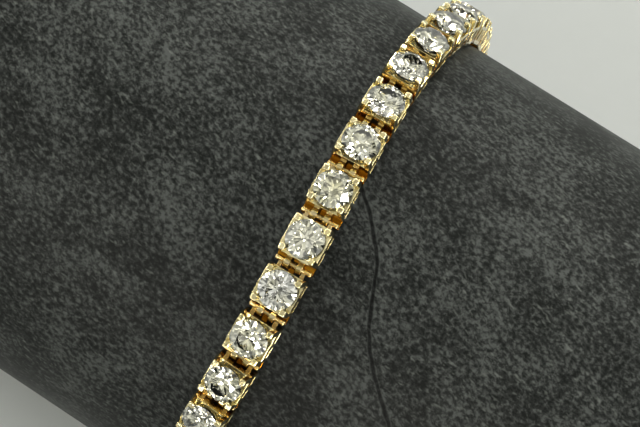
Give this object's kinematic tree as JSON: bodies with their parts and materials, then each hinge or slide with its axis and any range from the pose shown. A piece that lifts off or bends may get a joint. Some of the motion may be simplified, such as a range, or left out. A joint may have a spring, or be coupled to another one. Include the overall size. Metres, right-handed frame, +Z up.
{
  "type": "tennis bracelet on a display roll",
  "caption": "Closed tennis bracelet of hinged square gold settings, each claw-set with a round brilliant, lying round a polished grey display roll on a plain low stand.",
  "frame": {"origin": "on the table, under the middle of the stand", "axes": "+Z up, +X along the roll"},
  "size_m": [0.14, 0.061, 0.0685],
  "materials": {
    "gold_setting": "polished yellow gold, with a clear near-white brilliant in each setting",
    "gold_clasp": "polished yellow gold",
    "grey_marble": "semi-gloss dark grey marble with soft clouds and thin veins",
    "pale_stand": "matte pale grey"
  },
  "bodies": {
    "root": {"link_01": "gold_setting", "link_02": "gold_setting", "link_03": "gold_setting", "link_04": "gold_setting", "link_05": "gold_setting", "link_06": "gold_setting", "link_07": "gold_setting", "link_08": "gold_setting", "link_09": "gold_setting", "link_10": "gold_setting", "link_11": "gold_setting", "link_12": "gold_setting", "link_13": "gold_setting", "link_14": "gold_setting", "link_15": "gold_setting", "link_16": "gold_setting", "link_17": "gold_setting", "link_18": "gold_setting", "link_19": "gold_setting", "link_20": "gold_setting", "link_21": "gold_setting", "link_22": "gold_setting", "link_23": "gold_setting", "link_24": "gold_setting", "link_25": "gold_setting", "link_26": "gold_setting", "link_27": "gold_setting", "link_28": "gold_setting", "link_29": "gold_setting", "link_30": "gold_setting", "link_31": "gold_setting", "link_32": "gold_setting", "link_33": "gold_setting", "link_34": "gold_setting", "link_35": "gold_setting", "clasp": "gold_clasp", "display_roll": "grey_marble", "stand": "pale_stand"}
  },
  "joints": []
}
